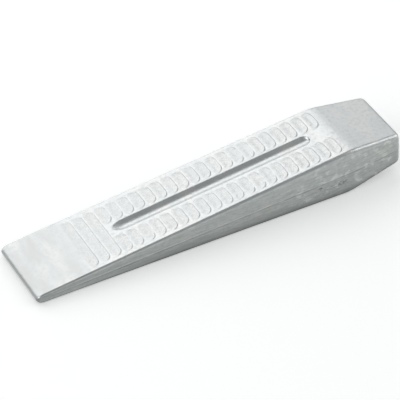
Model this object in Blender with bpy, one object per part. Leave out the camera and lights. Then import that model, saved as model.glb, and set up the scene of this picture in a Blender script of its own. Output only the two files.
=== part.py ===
"""Drop-forged aluminium felling wedge, one solid forging.

Lengths are in metres. The wedge is worked out about its own mid plane, with the nose at station 0,
and is then laid down on its lower working face: +X runs from the nose to the head, +Y across the
width and +Z up, with the origin under the middle of the object.
"""
import math

import bmesh
import bpy
from mathutils import Matrix, Vector

# Overall form
NOSE_TO_SHOULDER = 0.2138
HEAD_LENGTH = 0.038
FACE_WIDTH = 0.050
HEAD_END_WIDTH = 0.0445
NOSE_THICKNESS = 0.0056
SHOULDER_THICKNESS = 0.0330
HEAD_END_THICKNESS = 0.0218
SIDE_DRAFT = math.radians(3.5)

# Rounding
LONG_EDGE_RADIUS = 0.0018
LARGEST_RADIUS_SHARE = 0.8
NOSE_CORNER_RADIUS = 0.0026
NOSE_TIP_RADIUS = 0.0020
HEAD_CORNER_RADIUS = 0.0035
HEAD_RIM_RADIUS = 0.0028
SHOULDER_BLEND_LENGTH = 0.010

# Shallow round-bottomed groove along the middle of both working faces
GROOVE_START = 0.0620
GROOVE_END = 0.1997
GROOVE_RUN_OUT = 0.0090
GROOVE_WIDTH = 0.0088
GROOVE_DEPTH = 0.0023
GROOVE_CUTTER_LEVELS = (1.2, 1.0, 0.8, 0.6, 0.35, 0.1)

# Raised scales on both working faces: ramps that rise to a step facing the head
SCALE_PITCH = 0.00761
SCALE_COUNT = 23
FULL_WIDTH_SCALES = 3
FIRST_STEP = 0.0440
SCALE_LAND = 0.0015
SCALE_OUTER_EDGE = 0.0222
SCALE_INNER_EDGE = 0.0060
SCALE_CORNER_RADIUS = 0.0052
SCALE_CORNER_TURN = math.radians(80)
SCALE_HEIGHT = 0.00035
SCALE_START_DEPTH = 0.00009
SCALE_ROOT = 0.0006

TOTAL_LENGTH = NOSE_TO_SHOULDER + HEAD_LENGTH
FACE_RISE = (SHOULDER_THICKNESS - NOSE_THICKNESS) / 2 / NOSE_TO_SHOULDER
HEAD_FALL = (HEAD_END_THICKNESS - SHOULDER_THICKNESS) / 2 / HEAD_LENGTH
HALF_WEDGE_ANGLE = math.atan(FACE_RISE)
SMOOTH_SHADING_ANGLE = math.radians(30)


def blended(station, start, slope_before, slope_after):
    """Height at a station of two straight lines that meet at the shoulder in a parabola."""
    offset = station - NOSE_TO_SHOULDER
    half_blend = SHOULDER_BLEND_LENGTH / 2
    corner = start + slope_before * NOSE_TO_SHOULDER
    if offset <= -half_blend:
        return corner + slope_before * offset
    if offset >= half_blend:
        return corner + slope_after * offset
    bend = (slope_after - slope_before) / (2 * SHOULDER_BLEND_LENGTH)
    return corner + slope_before * offset + bend * (offset + half_blend) ** 2


def rounded_inset(distance, radius):
    """How far a quarter-round corner lies inside its outline, at a distance from the end."""
    if distance >= radius:
        return 0.0
    return radius - math.sqrt(max(0.0, radius**2 - (radius - distance) ** 2))


def face_height(station):
    """Height of the working face over the mid plane, before the ends are rounded."""
    return blended(station, NOSE_THICKNESS / 2, FACE_RISE, HEAD_FALL)


def half_height(station):
    """Half thickness of the body at a station."""
    from_head = TOTAL_LENGTH - station
    return (
        face_height(station)
        - rounded_inset(station, NOSE_TIP_RADIUS)
        - rounded_inset(from_head, HEAD_RIM_RADIUS)
    )


def half_width(station):
    """Half width of the working face at a station."""
    from_head = TOTAL_LENGTH - station
    narrowing = (HEAD_END_WIDTH - FACE_WIDTH) / 2 / HEAD_LENGTH
    return (
        blended(station, FACE_WIDTH / 2, 0.0, narrowing)
        - rounded_inset(station, NOSE_CORNER_RADIUS)
        - rounded_inset(from_head, HEAD_CORNER_RADIUS)
    )


def section(station):
    """Closed outline of the body at a station: rounded edges and sides drafted to a parting line."""
    height = half_height(station)
    width = half_width(station)
    radius = min(LONG_EDGE_RADIUS, LARGEST_RADIUS_SHARE * height)
    centre_y = width - radius * (1 - math.sin(SIDE_DRAFT)) / math.cos(SIDE_DRAFT)
    centre_z = height - radius
    steps = 4
    quarter = []
    for step in range(steps + 1):
        angle = math.pi / 2 + (SIDE_DRAFT - math.pi / 2) * step / steps
        quarter.append((centre_y + radius * math.cos(angle), centre_z + radius * math.sin(angle)))
    parting = [(width + height * math.tan(SIDE_DRAFT), 0.0)]
    side = quarter + parting + [(y, -z) for y, z in reversed(quarter)]
    outline = side + [(-y, z) for y, z in reversed(side)]
    return [Vector((station, y, z)) for y, z in outline]


def stations():
    """Stations of the sections: close together where the outline bends."""
    steps = 5
    ends = [math.sin(math.pi / 2 * step / steps) for step in range(steps + 1)]
    nose = [NOSE_TIP_RADIUS * (1 - value) for value in reversed(ends)]
    nose += [
        NOSE_CORNER_RADIUS * (1 - math.cos(math.pi / 2 * step / steps)) for step in range(2, steps + 1)
    ]
    shoulder_start = NOSE_TO_SHOULDER - SHOULDER_BLEND_LENGTH / 2
    blend_steps = 8
    shoulder = [
        shoulder_start + SHOULDER_BLEND_LENGTH * step / blend_steps for step in range(blend_steps + 1)
    ]
    head = [TOTAL_LENGTH - HEAD_CORNER_RADIUS * (1 - value) for value in ends]
    return sorted(set(round(value, 6) for value in nose + shoulder + head))


def body_mesh():
    """The plain forging: sections joined in a skin, closed at the nose and at the struck end."""
    shape = bmesh.new()
    rings = [[shape.verts.new(point) for point in section(station)] for station in stations()]
    count = len(rings[0])
    for ring, after in zip(rings, rings[1:]):
        for index in range(count):
            following = (index + 1) % count
            shape.faces.new((ring[index], after[index], after[following], ring[following]))
    shape.faces.new(rings[0])
    shape.faces.new(reversed(rings[-1]))
    bmesh.ops.recalc_face_normals(shape, faces=shape.faces)
    mesh = bpy.data.meshes.new("wedge_body")
    shape.to_mesh(mesh)
    shape.free()
    return mesh


def add_stack(shape, levels):
    """Adds a closed solid to a bmesh. Each level is a row of rungs (station, y, y, z), nose to head."""
    loops = []
    for rungs in levels:
        low_side = [shape.verts.new((station, low, z)) for station, low, high, z in rungs]
        high_side = [shape.verts.new((station, high, z)) for station, low, high, z in rungs]
        loops.append((low_side, high_side))
    for low_side, high_side in (loops[0], loops[-1]):
        for index in range(len(low_side) - 1):
            following = index + 1
            shape.faces.new(
                (low_side[index], low_side[following], high_side[following], high_side[index])
            )
    for above, below in zip(loops, loops[1:]):
        ring_above = above[0] + above[1][::-1]
        ring_below = below[0] + below[1][::-1]
        count = len(ring_above)
        for index in range(count):
            following = (index + 1) % count
            shape.faces.new(
                (ring_above[index], ring_above[following], ring_below[following], ring_below[index])
            )


def stacked_mesh(name, stacks):
    """One mesh of separate closed solids."""
    shape = bmesh.new()
    for levels in stacks:
        add_stack(shape, levels)
    bmesh.ops.recalc_face_normals(shape, faces=shape.faces)
    mesh = bpy.data.meshes.new(name)
    shape.to_mesh(mesh)
    shape.free()
    return mesh


def groove_rungs(spread):
    """Outline of the groove at the level where it has a given share of its full breadth."""
    steps = 6
    angles = [math.pi / 2 * step / steps for step in range(1, steps + 1)]
    advance = [GROOVE_RUN_OUT * (1 - spread * math.cos(angle)) for angle in angles]
    breadth = [GROOVE_WIDTH / 2 * spread * math.sin(angle) for angle in angles]
    places = [GROOVE_START + value for value in advance]
    places += [GROOVE_END - value for value in reversed(advance)]
    drop = GROOVE_DEPTH * (1 - spread**2)
    return [
        (place, -half, half, face_height(place) - drop)
        for place, half in zip(places, breadth + breadth[::-1])
    ]


def groove_mesh():
    """Cutter of one groove, with a parabolic section and a spoon-shaped run-out at each end."""
    return stacked_mesh("groove", [[groove_rungs(spread) for spread in GROOVE_CUTTER_LEVELS]])


def scale_levels(step_station, low_edge, high_edge):
    """One scale: a ramp with rounded head corners, rooted inside the body."""
    start = step_station - SCALE_PITCH + SCALE_LAND
    turn_start = step_station - SCALE_CORNER_RADIUS
    steps = 5
    rungs = [(start, 0.0), (turn_start, 0.0)]
    for step in range(1, steps + 1):
        angle = SCALE_CORNER_TURN * step / steps
        rungs.append(
            (
                turn_start + SCALE_CORNER_RADIUS * math.sin(angle),
                SCALE_CORNER_RADIUS * (1 - math.cos(angle)),
            )
        )
    ramp = (SCALE_HEIGHT + SCALE_START_DEPTH) / (rungs[-1][0] - start)
    crest = [
        (
            station,
            low_edge + inset,
            high_edge - inset,
            face_height(station) - SCALE_START_DEPTH + ramp * (station - start),
        )
        for station, inset in rungs
    ]
    root = [
        (station, low_edge + inset, high_edge - inset, face_height(station) - SCALE_ROOT)
        for station, inset in rungs
    ]
    return [crest, root]


def scales_mesh():
    """All the scales of one working face: full-width ones at the nose, then two rows."""
    stacks = []
    for index in range(SCALE_COUNT):
        step_station = FIRST_STEP + index * SCALE_PITCH
        if index < FULL_WIDTH_SCALES:
            stacks.append(scale_levels(step_station, -SCALE_OUTER_EDGE, SCALE_OUTER_EDGE))
        else:
            stacks.append(scale_levels(step_station, -SCALE_OUTER_EDGE, -SCALE_INNER_EDGE))
            stacks.append(scale_levels(step_station, SCALE_INNER_EDGE, SCALE_OUTER_EDGE))
    return stacked_mesh("scales", stacks)


def add_object(name, mesh):
    """A new object in the scene for a mesh."""
    thing = bpy.data.objects.new(name, mesh)
    bpy.context.scene.collection.objects.link(thing)
    return thing


def combine(body, name, mesh, operation):
    """Adds a mesh to the body or cuts it away, and keeps it as a hidden guide."""
    guide = add_object(name, mesh)
    guide.parent = body
    guide.hide_render = True
    guide.display_type = "WIRE"
    boolean = body.modifiers.new(name, "BOOLEAN")
    boolean.operation = operation
    boolean.object = guide


def mirrored(mesh, name):
    """The same mesh for the lower working face."""
    copy = mesh.copy()
    copy.name = name
    copy.transform(Matrix.Scale(-1, 4, Vector((0, 0, 1))))
    copy.flip_normals()
    return copy


def laid_down():
    """Turns the wedge until its lower working face is level, stands it on the scales and centres it."""
    lying = Matrix.Rotation(-HALF_WEDGE_ANGLE, 4, "Y")
    corners = [lying @ point for station in stations() for point in section(station)]
    middle = (min(point.x for point in corners) + max(point.x for point in corners)) / 2
    lowest = min(point.z for point in corners) - SCALE_HEIGHT * math.cos(HALF_WEDGE_ANGLE)
    return Matrix.Translation((-middle, 0, -lowest)) @ lying


def forged_aluminium():
    """Bright satin aluminium with the colour of a fresh forging."""
    material = bpy.data.materials.new("forged_aluminium")
    material.use_nodes = True
    shader = material.node_tree.nodes["Principled BSDF"]
    shader.inputs["Base Color"].default_value = (0.80, 0.81, 0.81, 1.0)
    shader.inputs["Metallic"].default_value = 1.0
    shader.inputs["Roughness"].default_value = 0.38
    return material


def main():
    for thing in list(bpy.data.objects):
        bpy.data.objects.remove(thing, do_unlink=True)
    body = add_object("wedge_body", body_mesh())
    upper_scales = scales_mesh()
    upper_groove = groove_mesh()
    combine(body, "upper_scale_guide", upper_scales, "UNION")
    combine(body, "lower_scale_guide", mirrored(upper_scales, "lower_scales"), "UNION")
    combine(body, "upper_groove_guide", upper_groove, "DIFFERENCE")
    combine(body, "lower_groove_guide", mirrored(upper_groove, "lower_groove"), "DIFFERENCE")
    body.matrix_world = laid_down()
    body.data.materials.append(forged_aluminium())
    body.data.shade_smooth()
    body.data.set_sharp_from_angle(angle=SMOOTH_SHADING_ANGLE)


main()
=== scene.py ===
"""Looks of the drop-forged aluminium felling wedge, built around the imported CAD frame.

The visible wedge is one fine mesh. It is worked out about the wedge's own mid plane, with the nose at
station 0, and is laid down where the CAD solid lies. Lengths are in metres.
"""
import math

import bpy
import numpy as np
from mathutils import Matrix, Vector


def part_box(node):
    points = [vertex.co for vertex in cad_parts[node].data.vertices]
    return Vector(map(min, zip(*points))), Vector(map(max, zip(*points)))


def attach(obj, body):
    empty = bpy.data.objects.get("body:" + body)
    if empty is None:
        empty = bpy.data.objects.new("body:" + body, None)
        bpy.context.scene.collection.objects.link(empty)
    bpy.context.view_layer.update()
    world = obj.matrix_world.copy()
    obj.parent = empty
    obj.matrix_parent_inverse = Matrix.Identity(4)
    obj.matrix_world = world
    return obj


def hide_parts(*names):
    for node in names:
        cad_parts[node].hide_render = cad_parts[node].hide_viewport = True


# The forging's form, as in the CAD part
NOSE_TO_SHOULDER = 0.2138
HEAD_LENGTH = 0.038
TOTAL_LENGTH = NOSE_TO_SHOULDER + HEAD_LENGTH
FACE_WIDTH = 0.0508
HEAD_END_WIDTH = 0.0445
NOSE_THICKNESS = 0.0056
SHOULDER_THICKNESS = 0.0330
HEAD_END_THICKNESS = 0.0218
SIDE_DRAFT = math.radians(2.1)
EDGE_RADIUS_AT_NOSE = 0.0011
EDGE_RADIUS_AT_HEAD = 0.0027
NOSE_CORNER_RADIUS = 0.0026
NOSE_SPREAD = 0.0004
NOSE_TIP_REACH = 0.0050
NOSE_TIP_DROP = 0.0021
HEAD_CORNER_RADIUS = 0.0035
HEAD_RIM_RADIUS = 0.0028
SHOULDER_BLEND_LENGTH = 0.010
HALF_WEDGE_ANGLE = math.atan((SHOULDER_THICKNESS - NOSE_THICKNESS) / 2 / NOSE_TO_SHOULDER)

# Groove along the middle of both working faces
GROOVE_START = 0.0620
GROOVE_END = 0.1997
GROOVE_RUN_OUT = 0.0090
GROOVE_HALF_WIDTH = 0.0044
GROOVE_DEPTH = 0.0020

# Raised scales on both working faces
SCALE_PITCH = 0.00761
SCALE_COUNT = 23
FULL_WIDTH_SCALES = 3
FIRST_STEP = 0.0440
SCALE_LAND = 0.0017
SCALE_OUTER_EDGE = 0.0222
SCALE_INNER_EDGE = 0.0058
SCALE_CORNER_RADIUS = 0.0046
SCALE_HEIGHT = 0.00035
SCALE_STEP_RUN = 0.00030
SCALE_DISH_DEPTH = 0.00040
SCALE_DISH_REACH = 0.0044
SCALE_OPENING = 0.0036

# Slight waviness of the forged skin, and a few knocks as (station, y), half axes, turn, depth
UPPER_FACE_SEED = 11
LOWER_FACE_SEED = 29
UNEVEN_WAVES = 14
LONG_WAVE_DEPTH = 0.00005
SHORT_WAVE_DEPTH = 0.000008
KNOCKS = [
    ((0.0045, 0.0125), (0.0014, 0.0004), 1.2, 0.00016),
    ((0.0060, 0.0045), (0.0050, 0.00022), 1.45, 0.00006),
    ((0.1385, -0.0190), (0.0007, 0.0004), 0.6, 0.00018),
    ((0.1010, -0.0200), (0.0006, 0.0003), 0.3, 0.00016),
    ((0.1275, 0.0082), (0.0005, 0.0003), 0.9, 0.00018),
    ((0.1352, 0.0086), (0.0006, 0.0004), 0.4, 0.00024),
    ((0.1362, 0.0110), (0.0004, 0.0003), 0.0, 0.00018),
    ((0.1430, 0.0092), (0.0006, 0.0004), 1.1, 0.00024),
    ((0.1506, 0.0083), (0.0005, 0.0004), 0.2, 0.00022),
]

# Thin ridge where the two halves of the forging die met
PARTING_RIDGE_HEIGHT = 0.00014
PARTING_RIDGE_STEPS = (0.0007, 0.00035, 0.00015, 0.0)


def smooth(low, high, value):
    """Smooth step from 0 at low to 1 at high; low may be the larger one."""
    share = np.clip((value - low) / (high - low), 0.0, 1.0)
    return share * share * (3.0 - 2.0 * share)


def blended(station, start, slope_before, slope_after):
    """Height at a station of two straight lines that meet at the shoulder in a parabola."""
    offset = station - NOSE_TO_SHOULDER
    half_blend = SHOULDER_BLEND_LENGTH / 2
    corner = start + slope_before * NOSE_TO_SHOULDER
    bend = (slope_after - slope_before) / (2 * SHOULDER_BLEND_LENGTH)
    curve = corner + slope_before * offset + bend * (offset + half_blend) ** 2
    before = corner + slope_before * offset
    after = corner + slope_after * offset
    return np.where(offset <= -half_blend, before, np.where(offset >= half_blend, after, curve))


def rounded_inset(distance, radius):
    """How far a quarter-round corner lies inside its outline, at a distance from the end."""
    inside = np.minimum(distance, radius)
    return radius - np.sqrt(np.maximum(0.0, radius**2 - (radius - inside) ** 2))


def face_height(station):
    """Height of the working face over the mid plane, before the ends are rounded."""
    rise = (SHOULDER_THICKNESS - NOSE_THICKNESS) / 2 / NOSE_TO_SHOULDER
    fall = (HEAD_END_THICKNESS - SHOULDER_THICKNESS) / 2 / HEAD_LENGTH
    return blended(station, NOSE_THICKNESS / 2, rise, fall)


def half_height(station):
    """Half thickness of the body at a station."""
    return (
        face_height(station)
        - rounded_inset(station, NOSE_TIP_REACH) * NOSE_TIP_DROP / NOSE_TIP_REACH
        - rounded_inset(TOTAL_LENGTH - station, HEAD_RIM_RADIUS)
    )


def half_width(station):
    """Half width of the working face at a station."""
    narrowing = (HEAD_END_WIDTH - FACE_WIDTH) / 2 / HEAD_LENGTH
    return (
        blended(station, FACE_WIDTH / 2, 0.0, narrowing)
        + NOSE_SPREAD * np.maximum(0.0, 1.0 - station / NOSE_TO_SHOULDER)
        - rounded_inset(station, NOSE_CORNER_RADIUS)
        - rounded_inset(TOTAL_LENGTH - station, HEAD_CORNER_RADIUS)
    )


def rounded_box(station, y, first, last, low, high, radius):
    """Signed distance to a box with rounded corners in the plane of the working face."""
    along = np.abs(station - (first + last) / 2) - ((last - first) / 2 - radius)
    across = np.abs(y - (low + high) / 2) - ((high - low) / 2 - radius)
    outside = np.hypot(np.maximum(along, 0.0), np.maximum(across, 0.0))
    return outside + np.minimum(np.maximum(along, across), 0.0) - radius


def scale_relief(station, y, step_station, low, high):
    """Height of one scale: a dished ramp that ends in a rounded step facing the head."""
    long_reach = 0.016
    outline = rounded_box(
        station, y, step_station - long_reach, step_station, low, high, SCALE_CORNER_RADIUS
    )
    previous = rounded_box(
        station,
        y,
        step_station - SCALE_PITCH - long_reach,
        step_station - SCALE_PITCH + SCALE_LAND,
        low,
        high,
        SCALE_CORNER_RADIUS + SCALE_LAND / 2,
    )
    ramp = np.clip(previous / (SCALE_PITCH - SCALE_LAND), 0.0, 1.0)
    depth_inside = np.clip(-outline / SCALE_DISH_REACH, 0.0, 1.0)
    dish = SCALE_DISH_DEPTH * (1.0 - (1.0 - depth_inside) ** 2)
    step = smooth(0.5 * SCALE_STEP_RUN, -0.5 * SCALE_STEP_RUN, outline)
    opening = smooth(0.0, SCALE_OPENING, previous)
    return (SCALE_HEIGHT * ramp - dish * opening) * step


def side_curve(share):
    """How far the side stands out at a share of the way from its edge down to the parting line."""
    return 1.0 - (1.0 - share) ** 1.6


def groove_relief(station, y):
    """Depth of the groove: round-bottomed, running out to a point at the nose end."""
    from_start = np.clip((station - GROOVE_START) / GROOVE_RUN_OUT, 0.0, 1.0)
    from_end = np.clip((GROOVE_END - station) / GROOVE_HALF_WIDTH, 0.0, 1.0)
    start_share = np.sin(from_start * math.pi / 2)
    end_share = np.sqrt(1.0 - (1.0 - from_end) ** 2)
    breadth = GROOVE_HALF_WIDTH * start_share**0.5 * end_share
    share = np.abs(y) / np.maximum(breadth, 1e-6)
    channel = np.cos(np.minimum(share, 1.0) * math.pi / 2)
    return GROOVE_DEPTH * start_share**1.5 * end_share**0.5 * channel


def unevenness(station, y, shortest, longest, seed):
    """Smooth seeded waves over a face, about one unit high, between two wavelengths."""
    chance = np.random.default_rng(seed)
    total = np.zeros_like(station)
    for _ in range(UNEVEN_WAVES):
        pitch = 2 * math.pi / chance.uniform(shortest, longest)
        heading = chance.uniform(0.0, math.pi)
        phase = chance.uniform(0.0, 2 * math.pi)
        total += np.cos(pitch * (station * math.cos(heading) + y * math.sin(heading)) + phase)
    return total / math.sqrt(UNEVEN_WAVES)


def dent(station, y, place, size, turn, depth):
    """A small oval knock in a face, at a place, with half axes of a size, turned in the face."""
    along = (station - place[0]) * math.cos(turn) + (y - place[1]) * math.sin(turn)
    across = (y - place[1]) * math.cos(turn) - (station - place[0]) * math.sin(turn)
    return depth * np.exp(-((along / size[0]) ** 2) - (across / size[1]) ** 2)


def scale_floor(station, y):
    """Share, from 0 to 1, by which a point lies in the dished part of a scale."""
    floor_share = np.zeros_like(station)
    for index in range(SCALE_COUNT):
        step_station = FIRST_STEP + index * SCALE_PITCH
        inner = -SCALE_OUTER_EDGE if index < FULL_WIDTH_SCALES else SCALE_INNER_EDGE
        outline = rounded_box(
            station,
            np.abs(y) if index >= FULL_WIDTH_SCALES else y,
            step_station - SCALE_PITCH + SCALE_LAND / 2,
            step_station,
            inner,
            SCALE_OUTER_EDGE,
            SCALE_CORNER_RADIUS / 2,
        )
        floor_share = np.maximum(floor_share, smooth(0.0, -0.0008, outline))
    return floor_share


def face_relief(station, y, seed):
    """Everything that stands over or lies under the plain working face."""
    relief = np.zeros_like(station)
    for index in range(SCALE_COUNT):
        step_station = FIRST_STEP + index * SCALE_PITCH
        rows = [(-SCALE_OUTER_EDGE, -SCALE_INNER_EDGE), (SCALE_INNER_EDGE, SCALE_OUTER_EDGE)]
        if index < FULL_WIDTH_SCALES:
            rows = [(-SCALE_OUTER_EDGE, SCALE_OUTER_EDGE)]
        for low, high in rows:
            near = (station > step_station - SCALE_PITCH - 0.001) & (station < step_station + 0.001)
            near &= (y > low - 0.001) & (y < high + 0.001)
            relief[near] += scale_relief(station[near], y[near], step_station, low, high)
    inside = smooth(0.0, 0.006, station) * smooth(0.0, 0.003, FACE_WIDTH / 2 - np.abs(y))
    relief -= LONG_WAVE_DEPTH * inside * (1.0 + unevenness(station, y, 0.009, 0.022, seed) / 2)
    relief -= SHORT_WAVE_DEPTH * inside * (1.0 + unevenness(station, y, 0.0022, 0.0050, seed + 1) / 2)
    for place, size, turn, depth in KNOCKS:
        relief -= dent(station, y, place, size, turn, depth)
    return relief - groove_relief(station, y)


def stations():
    """Stations of the sections: close together on the scales and at both ends."""
    return np.unique(
        np.concatenate(
            [
                NOSE_CORNER_RADIUS * (1 - np.cos(np.linspace(0.0, math.pi / 2, 14))),
                np.linspace(NOSE_CORNER_RADIUS, 0.035, 30),
                np.linspace(0.035, 0.216, 760),
                np.linspace(0.216, TOTAL_LENGTH - HEAD_CORNER_RADIUS, 40),
                TOTAL_LENGTH - HEAD_CORNER_RADIUS * (1 - np.cos(np.linspace(0.0, math.pi / 2, 12))),
            ]
        ).round(7)
    )


# Metal colours, and the depths of the bump layers
COOL_METAL = (0.675, 0.695, 0.70, 1.0)
WARM_METAL = (0.725, 0.725, 0.715, 1.0)
DULL_METAL = (0.60, 0.62, 0.625, 1.0)
OXIDE = (0.93, 0.94, 0.92, 1.0)
RUBBED_METAL = (0.555, 0.565, 0.56, 1.0)
# Darker, cooler colour for the rolled streaks on the sides: real streaks that also carry painted shade for the
# shaded sides
SIDE_STREAKS_AND_PAINTED_SHADE = (0.57, 0.60, 0.58, 1.0)
# Painted shade: a darker colour for the sides near the floor, standing in for the shadowed floor they reflect
LOWER_SIDE_PAINTED_SHADE = (0.36, 0.38, 0.37, 1.0)
PIT = (0.16, 0.16, 0.16, 1.0)
CLOUD_TURN = 0.6
MOTTLE_DEPTH = 0.00006
GRAIN_DEPTH = 0.00006
SIDE_STREAK_DEPTH = 0.00007
GROOVE_STREAK_DEPTH = 0.00003

FACE_POINTS = 100
EDGE_STEPS = 6
SIDE_STEPS = 9


def section_rings(places):
    """Points of every section, as one array of sections by ring points by coordinates."""
    height = half_height(places)[:, None]
    width = half_width(places)[:, None]
    radius = EDGE_RADIUS_AT_NOSE + (EDGE_RADIUS_AT_HEAD - EDGE_RADIUS_AT_NOSE) * places[:, None] / TOTAL_LENGTH
    radius = np.minimum(radius, 0.8 * height)
    centre_y = width - radius * (1 - math.sin(SIDE_DRAFT)) / math.cos(SIDE_DRAFT)
    across = np.linspace(-1.0, 1.0, FACE_POINTS)[None, :]
    face_y = centre_y * across
    face_z = height * np.ones_like(across)
    turn = np.linspace(math.pi / 2, SIDE_DRAFT, EDGE_STEPS + 1)[None, 1:]
    edge_y = centre_y + radius * np.cos(turn)
    edge_z = height - radius + radius * np.sin(turn)
    first_z = edge_z[:, -1:]
    ridge_foot = PARTING_RIDGE_STEPS[0]
    down = np.linspace(0.0, 1.0, SIDE_STEPS - len(PARTING_RIDGE_STEPS) + 2)[None, 1:-1]
    plain_z = first_z + (ridge_foot - first_z) * down
    ridge_z = np.array(PARTING_RIDGE_STEPS)[None, :] * np.ones_like(first_z)
    side_z = np.concatenate([plain_z, ridge_z], axis=1)
    widest = width + height * math.tan(SIDE_DRAFT) - PARTING_RIDGE_HEIGHT
    side_y = edge_y[:, -1:] + (widest - edge_y[:, -1:]) * side_curve(1.0 - side_z / first_z)
    side_y = side_y + PARTING_RIDGE_HEIGHT * np.clip(1.0 - side_z / PARTING_RIDGE_STEPS[1], 0.0, 1.0)
    flank_y = np.concatenate([edge_y, side_y], axis=1)
    flank_z = np.concatenate([edge_z, side_z], axis=1)
    y = np.concatenate(
        [face_y, flank_y, flank_y[:, -2::-1], face_y[:, ::-1], -flank_y, -flank_y[:, -2::-1]], axis=1
    )
    z = np.concatenate(
        [face_z, flank_z, -flank_z[:, -2::-1], -face_z, -flank_z, flank_z[:, -2::-1]], axis=1
    )
    x = np.repeat(places[:, None], y.shape[1], axis=1)
    return np.stack([x, y, z], axis=2)


def wedge_mesh():
    """The forging's skin, with the relief of both working faces in the geometry."""
    places = stations()
    rings = section_rings(places)
    upper = slice(0, FACE_POINTS)
    lower_first = FACE_POINTS + 2 * (EDGE_STEPS + SIDE_STEPS) - 1
    lower = slice(lower_first, lower_first + FACE_POINTS)
    floor_share = np.zeros(rings.shape[:2])
    for side in (upper, lower):
        floor_share[:, side] = scale_floor(rings[:, side, 0], rings[:, side, 1])
    rings[:, upper, 2] += face_relief(rings[:, upper, 0], rings[:, upper, 1], UPPER_FACE_SEED)
    rings[:, lower, 2] -= face_relief(rings[:, lower, 0], rings[:, lower, 1], LOWER_FACE_SEED)
    count = rings.shape[1]
    first = np.arange(len(places) - 1)[:, None] * count
    index = np.arange(count)[None, :]
    following = (index + 1) % count
    quads = np.stack(
        [first + index, first + count + index, first + count + following, first + following], axis=2
    ).reshape(-1, 4)
    last_ring = (len(places) - 1) * count
    ends = [list(range(count)), list(range(last_ring, last_ring + count))[::-1]]
    mesh = bpy.data.meshes.new("forged_wedge")
    mesh.from_pydata(rings.reshape(-1, 3).tolist(), [], quads.tolist() + ends)
    mesh.update()
    layer = mesh.attributes.new("scale_floor", "FLOAT", "POINT")
    layer.data.foreach_set("value", floor_share.reshape(-1))
    mesh.shade_smooth()
    mesh.set_sharp_from_angle(angle=math.radians(50))
    return mesh


def laid_down():
    """Turns the wedge until its lower working face is level, and sets it where the CAD solid lies."""
    low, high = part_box("wedge_body")
    lying = Matrix.Rotation(-HALF_WEDGE_ANGLE, 4, "Y")
    nose_tip = lying @ Vector((0.0, 0.0, 0.0))
    underside = lying @ Vector((0.1, 0.0, -float(face_height(np.array(0.1))) - SCALE_HEIGHT))
    lift = low.z - underside.z
    shift = low.x - min(
        (lying @ Vector((float(s), 0.0, z * float(half_height(np.array(s)))))).x
        for s in np.linspace(0.0, NOSE_TIP_REACH, 9)
        for z in (-1, 1)
    )
    return Matrix.Translation((shift, 0.0, lift)) @ lying


def noise(tree, coordinates, spacing, detail, stretch=(1.0, 1.0, 1.0), turn=0.0):
    """Noise whose grain is about one spacing wide, drawn out and turned in the plane of the floor."""
    mapping = tree.nodes.new("ShaderNodeMapping")
    mapping.inputs["Rotation"].default_value = (0.0, 0.0, turn)
    mapping.inputs["Scale"].default_value = [share / spacing for share in stretch]
    texture = tree.nodes.new("ShaderNodeTexNoise")
    texture.inputs["Scale"].default_value = 1.0
    texture.inputs["Detail"].default_value = detail
    tree.links.new(coordinates, mapping.inputs["Vector"])
    tree.links.new(mapping.outputs["Vector"], texture.inputs["Vector"])
    return texture.outputs["Fac"]


def ranged(tree, value, from_low, from_high, to_low, to_high):
    """Takes a value from one range to another, and keeps it inside."""
    node = tree.nodes.new("ShaderNodeMapRange")
    node.interpolation_type = "SMOOTHSTEP"
    tree.links.new(value, node.inputs["Value"])
    for name, limit in zip(("From Min", "From Max", "To Min", "To Max"), (from_low, from_high, to_low, to_high)):
        node.inputs[name].default_value = limit
    return node.outputs["Result"]


def combined(tree, operation, first, second):
    """Two values added or multiplied; the second may be a plain number."""
    node = tree.nodes.new("ShaderNodeMath")
    node.operation = operation
    tree.links.new(first, node.inputs[0])
    if isinstance(second, float):
        node.inputs[1].default_value = second
    else:
        tree.links.new(second, node.inputs[1])
    return node.outputs["Value"]


def tinted(tree, share, first, second):
    """A colour between two, by a share from 0 to 1; the first may be another node's colour."""
    node = tree.nodes.new("ShaderNodeMix")
    node.data_type = "RGBA"
    tree.links.new(share, node.inputs["Factor"])
    colours = [socket for socket in node.inputs if socket.type == "RGBA"]
    if isinstance(first, tuple):
        colours[0].default_value = first
    else:
        tree.links.new(first, colours[0])
    colours[1].default_value = second
    return next(socket for socket in node.outputs if socket.type == "RGBA")


def bumped(tree, height, distance, strength, under):
    """Adds one layer of bump, of a height in metres, over another layer."""
    node = tree.nodes.new("ShaderNodeBump")
    node.inputs["Distance"].default_value = distance
    node.inputs["Strength"].default_value = strength
    tree.links.new(height, node.inputs["Height"])
    if under is not None:
        tree.links.new(under, node.inputs["Normal"])
    return node.outputs["Normal"]


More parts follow.
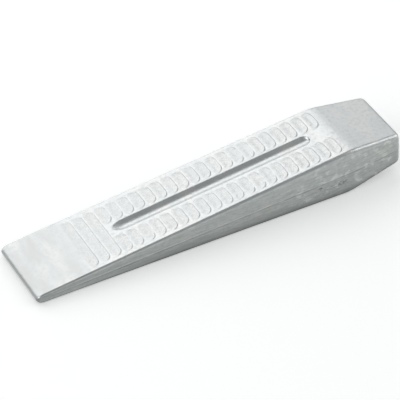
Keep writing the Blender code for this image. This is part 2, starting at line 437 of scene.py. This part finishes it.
def forged_aluminium():
    """Satin as-forged aluminium: cloudy skin, fine grain, oxide patches on the sides, drawn groove, and painted
    shade on the sides: darker streaks, and darker towards the floor.
    """
    material = bpy.data.materials.new("forged_aluminium_skin")
    material.use_nodes = True
    tree = material.node_tree
    shader = tree.nodes["Principled BSDF"]
    place = tree.nodes.new("ShaderNodeTexCoord").outputs["Object"]
    facing = tree.nodes.new("ShaderNodeNewGeometry").outputs["True Normal"]
    split_place = tree.nodes.new("ShaderNodeSeparateXYZ")
    tree.links.new(place, split_place.inputs["Vector"])
    split_facing = tree.nodes.new("ShaderNodeSeparateXYZ")
    tree.links.new(facing, split_facing.inputs["Vector"])

    clouds = noise(tree, place, 0.014, 3.0, (1.0, 0.45, 1.0), CLOUD_TURN)
    mottle = noise(tree, place, 0.0022, 4.0)
    grain = noise(tree, place, 0.0008, 3.0)
    streaks = noise(tree, place, 0.00055, 2.0, (0.03, 1.0, 0.25))
    rolling = noise(tree, place, 0.0009, 3.0, (0.09, 1.0, 1.0))
    patches = noise(tree, place, 0.0050, 4.0)
    pits = noise(tree, place, 0.0011, 2.0, (0.4, 1.0, 1.0))

    scale_share = tree.nodes.new("ShaderNodeAttribute")
    scale_share.attribute_name = "scale_floor"
    in_scale = scale_share.outputs["Fac"]
    sideways = combined(tree, "ABSOLUTE", split_facing.outputs["Y"], 0.0)
    on_side = ranged(tree, sideways, 0.80, 0.95, 0.0, 1.0)
    off_centre = combined(tree, "ABSOLUTE", split_place.outputs["Y"], 0.0)
    in_groove = ranged(tree, off_centre, 0.0036, 0.0048, 1.0, 0.0)
    near_shoulder = ranged(tree, split_place.outputs["X"], 0.025, 0.060, 0.0, 1.0)
    oxide = combined(tree, "MULTIPLY", ranged(tree, patches, 0.50, 0.66, 0.0, 1.0), on_side)
    oxide = combined(tree, "MULTIPLY", oxide, near_shoulder)

    colour = tinted(tree, ranged(tree, clouds, 0.36, 0.64, 0.0, 1.0), COOL_METAL, WARM_METAL)
    colour = tinted(tree, ranged(tree, mottle, 0.45, 0.70, 0.0, 0.7), colour, DULL_METAL)
    colour = tinted(tree, combined(tree, "MULTIPLY", oxide, 0.9), colour, OXIDE)
    speckle = combined(tree, "MULTIPLY", in_scale, ranged(tree, grain, 0.36, 0.64, 0.15, 0.85))
    colour = tinted(tree, speckle, colour, RUBBED_METAL)
    # Rolled streaks on the sides, in a darker, cooler colour that is partly painted shade for the sides
    streaks_and_painted_side_shade = combined(tree, "MULTIPLY", ranged(tree, rolling, 0.45, 0.70, 0.0, 0.8), on_side)
    colour = tinted(tree, streaks_and_painted_side_shade, colour, SIDE_STREAKS_AND_PAINTED_SHADE)
    # Painted shade: the sides grow darker towards the floor, less so towards the nose
    painted_floor_shade = combined(tree, "MULTIPLY", ranged(tree, split_place.outputs["Z"], 0.0, 0.010, 0.75, 0.0), on_side)
    painted_floor_shade = combined(tree, "MULTIPLY", painted_floor_shade, ranged(tree, split_place.outputs["X"], -0.095, -0.03, 0.1, 1.0))
    colour = tinted(tree, painted_floor_shade, colour, LOWER_SIDE_PAINTED_SHADE)
    pitted = ranged(tree, split_place.outputs["X"], 0.058, 0.070, 0.0, 1.0)
    pitted = combined(tree, "MULTIPLY", pitted, ranged(tree, split_place.outputs["X"], 0.080, 0.088, 1.0, 0.0))
    pitted = combined(tree, "MULTIPLY", pitted, ranged(tree, split_place.outputs["Z"], 0.0085, 0.0105, 0.0, 1.0))
    pitted = combined(tree, "MULTIPLY", pitted, ranged(tree, split_place.outputs["Z"], 0.0135, 0.0150, 1.0, 0.0))
    pitted = combined(tree, "MULTIPLY", pitted, ranged(tree, pits, 0.57, 0.64, 0.0, 1.0))
    pitted = combined(tree, "MULTIPLY", pitted, ranged(tree, split_facing.outputs["Y"], -0.95, -0.80, 1.0, 0.0))
    colour = tinted(tree, combined(tree, "MULTIPLY", pitted, 0.8), colour, PIT)
    rubbed = ranged(tree, split_place.outputs["X"], -0.100, -0.078, 1.0, 0.15)
    rubbed = combined(tree, "MULTIPLY", rubbed, ranged(tree, clouds, 0.30, 0.60, 1.0, 0.35))
    colour = tinted(tree, combined(tree, "SUBTRACT", rubbed, on_side), colour, RUBBED_METAL)
    tree.links.new(colour, shader.inputs["Base Color"])
    shader.inputs["Metallic"].default_value = 1.0
    roughness = combined(
        tree, "ADD", ranged(tree, mottle, 0.3, 0.7, 0.30, 0.38), ranged(tree, clouds, 0.3, 0.7, -0.02, 0.02)
    )
    roughness = combined(tree, "ADD", roughness, combined(tree, "MULTIPLY", oxide, 0.10))
    tree.links.new(roughness, shader.inputs["Roughness"])

    side_rolling = combined(tree, "MULTIPLY", rolling, on_side)
    groove_streaks = combined(tree, "MULTIPLY", streaks, in_groove)
    normal = bumped(tree, mottle, MOTTLE_DEPTH, 1.0, None)
    normal = bumped(tree, grain, GRAIN_DEPTH, 1.0, normal)
    normal = bumped(tree, side_rolling, SIDE_STREAK_DEPTH, 1.0, normal)
    normal = bumped(tree, combined(tree, "MULTIPLY", in_scale, grain), GRAIN_DEPTH, 1.0, normal)
    normal = bumped(tree, groove_streaks, GROOVE_STREAK_DEPTH, 1.0, normal)
    tree.links.new(normal, shader.inputs["Normal"])
    return material


def add_object(name, data):
    thing = bpy.data.objects.new(name, data)
    bpy.context.scene.collection.objects.link(thing)
    return thing


def add_floor():
    mesh = bpy.data.meshes.new("floor")
    reach = 3.0
    mesh.from_pydata(
        [(-reach, -reach, 0.0), (reach, -reach, 0.0), (reach, reach, 0.0), (-reach, reach, 0.0)],
        [],
        [(0, 1, 2, 3)],
    )
    floor = add_object("floor", mesh)
    material = bpy.data.materials.new("floor_paper")
    material.use_nodes = True
    shader = material.node_tree.nodes["Principled BSDF"]
    shader.inputs["Base Color"].default_value = (0.93, 0.93, 0.93, 1.0)
    shader.inputs["Roughness"].default_value = 0.9
    shader.inputs["Emission Color"].default_value = (1.0, 1.0, 1.0, 1.0)
    shader.inputs["Emission Strength"].default_value = 0.25
    mesh.materials.append(material)
    floor.visible_glossy = False


def add_camera():
    """A long lens above the near side, in front of the nose's right."""
    camera = bpy.data.cameras.new("camera")
    camera.sensor_width = 36.0
    camera.lens = 211.5
    camera.clip_end = 20.0
    holder = add_object("camera", camera)
    azimuth = math.radians(28.23)
    elevation = math.radians(40.0)
    roll = math.radians(-0.23)
    distance = 1.4267
    target = Vector((-0.0044, -0.0009, 0.0135))
    back = Vector(
        (
            -math.sin(azimuth) * math.cos(elevation),
            -math.cos(azimuth) * math.cos(elevation),
            math.sin(elevation),
        )
    )
    holder.location = target + back * distance
    aim = (-back).to_track_quat("-Z", "Y").to_matrix() @ Matrix.Rotation(roll, 3, "Z")
    holder.rotation_euler = aim.to_euler()
    bpy.context.scene.camera = holder


def add_softbox(name, place, target, size, radiance):
    """A rectangular light of an even radiance, turned to face a point."""
    width, height = size
    light = bpy.data.lights.new(name, "AREA")
    light.shape = "RECTANGLE"
    light.size = width
    light.size_y = height
    light.energy = math.pi * radiance * width * height
    holder = add_object(name, light)
    holder.location = place
    holder.rotation_euler = (Vector(target) - Vector(place)).to_track_quat("-Z", "Y").to_euler()


def add_studio():
    add_softbox("back_softbox", (-0.2, 1.6, 1.05), (0, 0, 0.1), (2.4, 2.0), 1.1)
    add_softbox("back_right_softbox", (1.35, 1.35, 1.25), (0, 0, 0), (0.9, 1.1), 0.55)
    add_softbox("left_softbox", (-1.6, -0.5, 1.0), (0, 0, 0), (1.5, 1.5), 1.6)
    add_softbox("right_softbox", (1.6, -0.5, 1.0), (0, 0, 0), (1.5, 1.5), 1.2)
    add_softbox("high_back_softbox", (-0.1, 0.7, 1.9), (0, 0, 0), (2.0, 0.7), 0.95)
    bpy.context.scene.world = studio_world()
    bpy.context.scene.view_settings.view_transform = "Standard"


def studio_world():
    """A dim room, cooler overhead, with a bright sweep of paper low down behind the wedge."""
    world = bpy.data.worlds.new("studio")
    world.use_nodes = True
    tree = world.node_tree
    direction = tree.nodes.new("ShaderNodeTexCoord")
    split = tree.nodes.new("ShaderNodeSeparateXYZ")
    share = tree.nodes.new("ShaderNodeMapRange")
    share.inputs["From Min"].default_value = -1.0
    share.inputs["From Max"].default_value = 1.0
    ramp = tree.nodes.new("ShaderNodeValToRGB")
    levels = [
        (-0.95, 0.13, 0.98),
        (-0.75, 0.25, 0.98),
        (-0.55, 0.70, 0.98),
        (-0.1, 0.62, 1.0),
        (0.1, 0.45, 1.0),
        (0.5, 0.33, 1.01),
        (1.0, 0.28, 1.01),
    ]
    while len(ramp.color_ramp.elements) < len(levels):
        ramp.color_ramp.elements.new(0.5)
    for element, (height, radiance, coolness) in zip(ramp.color_ramp.elements, levels):
        element.position = (height + 1.0) / 2.0
        element.color = (radiance * 0.96, radiance, radiance * coolness, 1.0)
    behind = ranged(tree, split.outputs["Y"], 0.15, 0.60, 0.0, 1.0)
    low_down = ranged(tree, split.outputs["Z"], -0.1, 0.25, 1.0, 0.0)
    sweep = combined(tree, "MULTIPLY", behind, low_down)
    tree.links.new(direction.outputs["Generated"], split.inputs["Vector"])
    tree.links.new(split.outputs["Z"], share.inputs["Value"])
    tree.links.new(share.outputs["Result"], ramp.inputs["Fac"])
    colour = tinted(tree, sweep, ramp.outputs["Color"], (0.68, 0.70, 0.70, 1.0))
    tree.links.new(colour, tree.nodes["Background"].inputs["Color"])
    tree.nodes["Background"].inputs["Strength"].default_value = 1.0
    return world


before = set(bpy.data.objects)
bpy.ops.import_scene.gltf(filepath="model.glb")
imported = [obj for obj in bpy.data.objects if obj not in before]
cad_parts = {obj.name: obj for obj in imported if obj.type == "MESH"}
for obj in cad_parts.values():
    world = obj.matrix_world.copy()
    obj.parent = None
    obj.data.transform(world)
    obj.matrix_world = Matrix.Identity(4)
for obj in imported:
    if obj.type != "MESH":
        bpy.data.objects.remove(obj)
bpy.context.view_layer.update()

wedge = add_object("forged_wedge", wedge_mesh())
wedge.data.transform(laid_down())
wedge.data.materials.append(forged_aluminium())
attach(wedge, "root")
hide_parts("wedge_body")

add_floor()
add_camera()
add_studio()
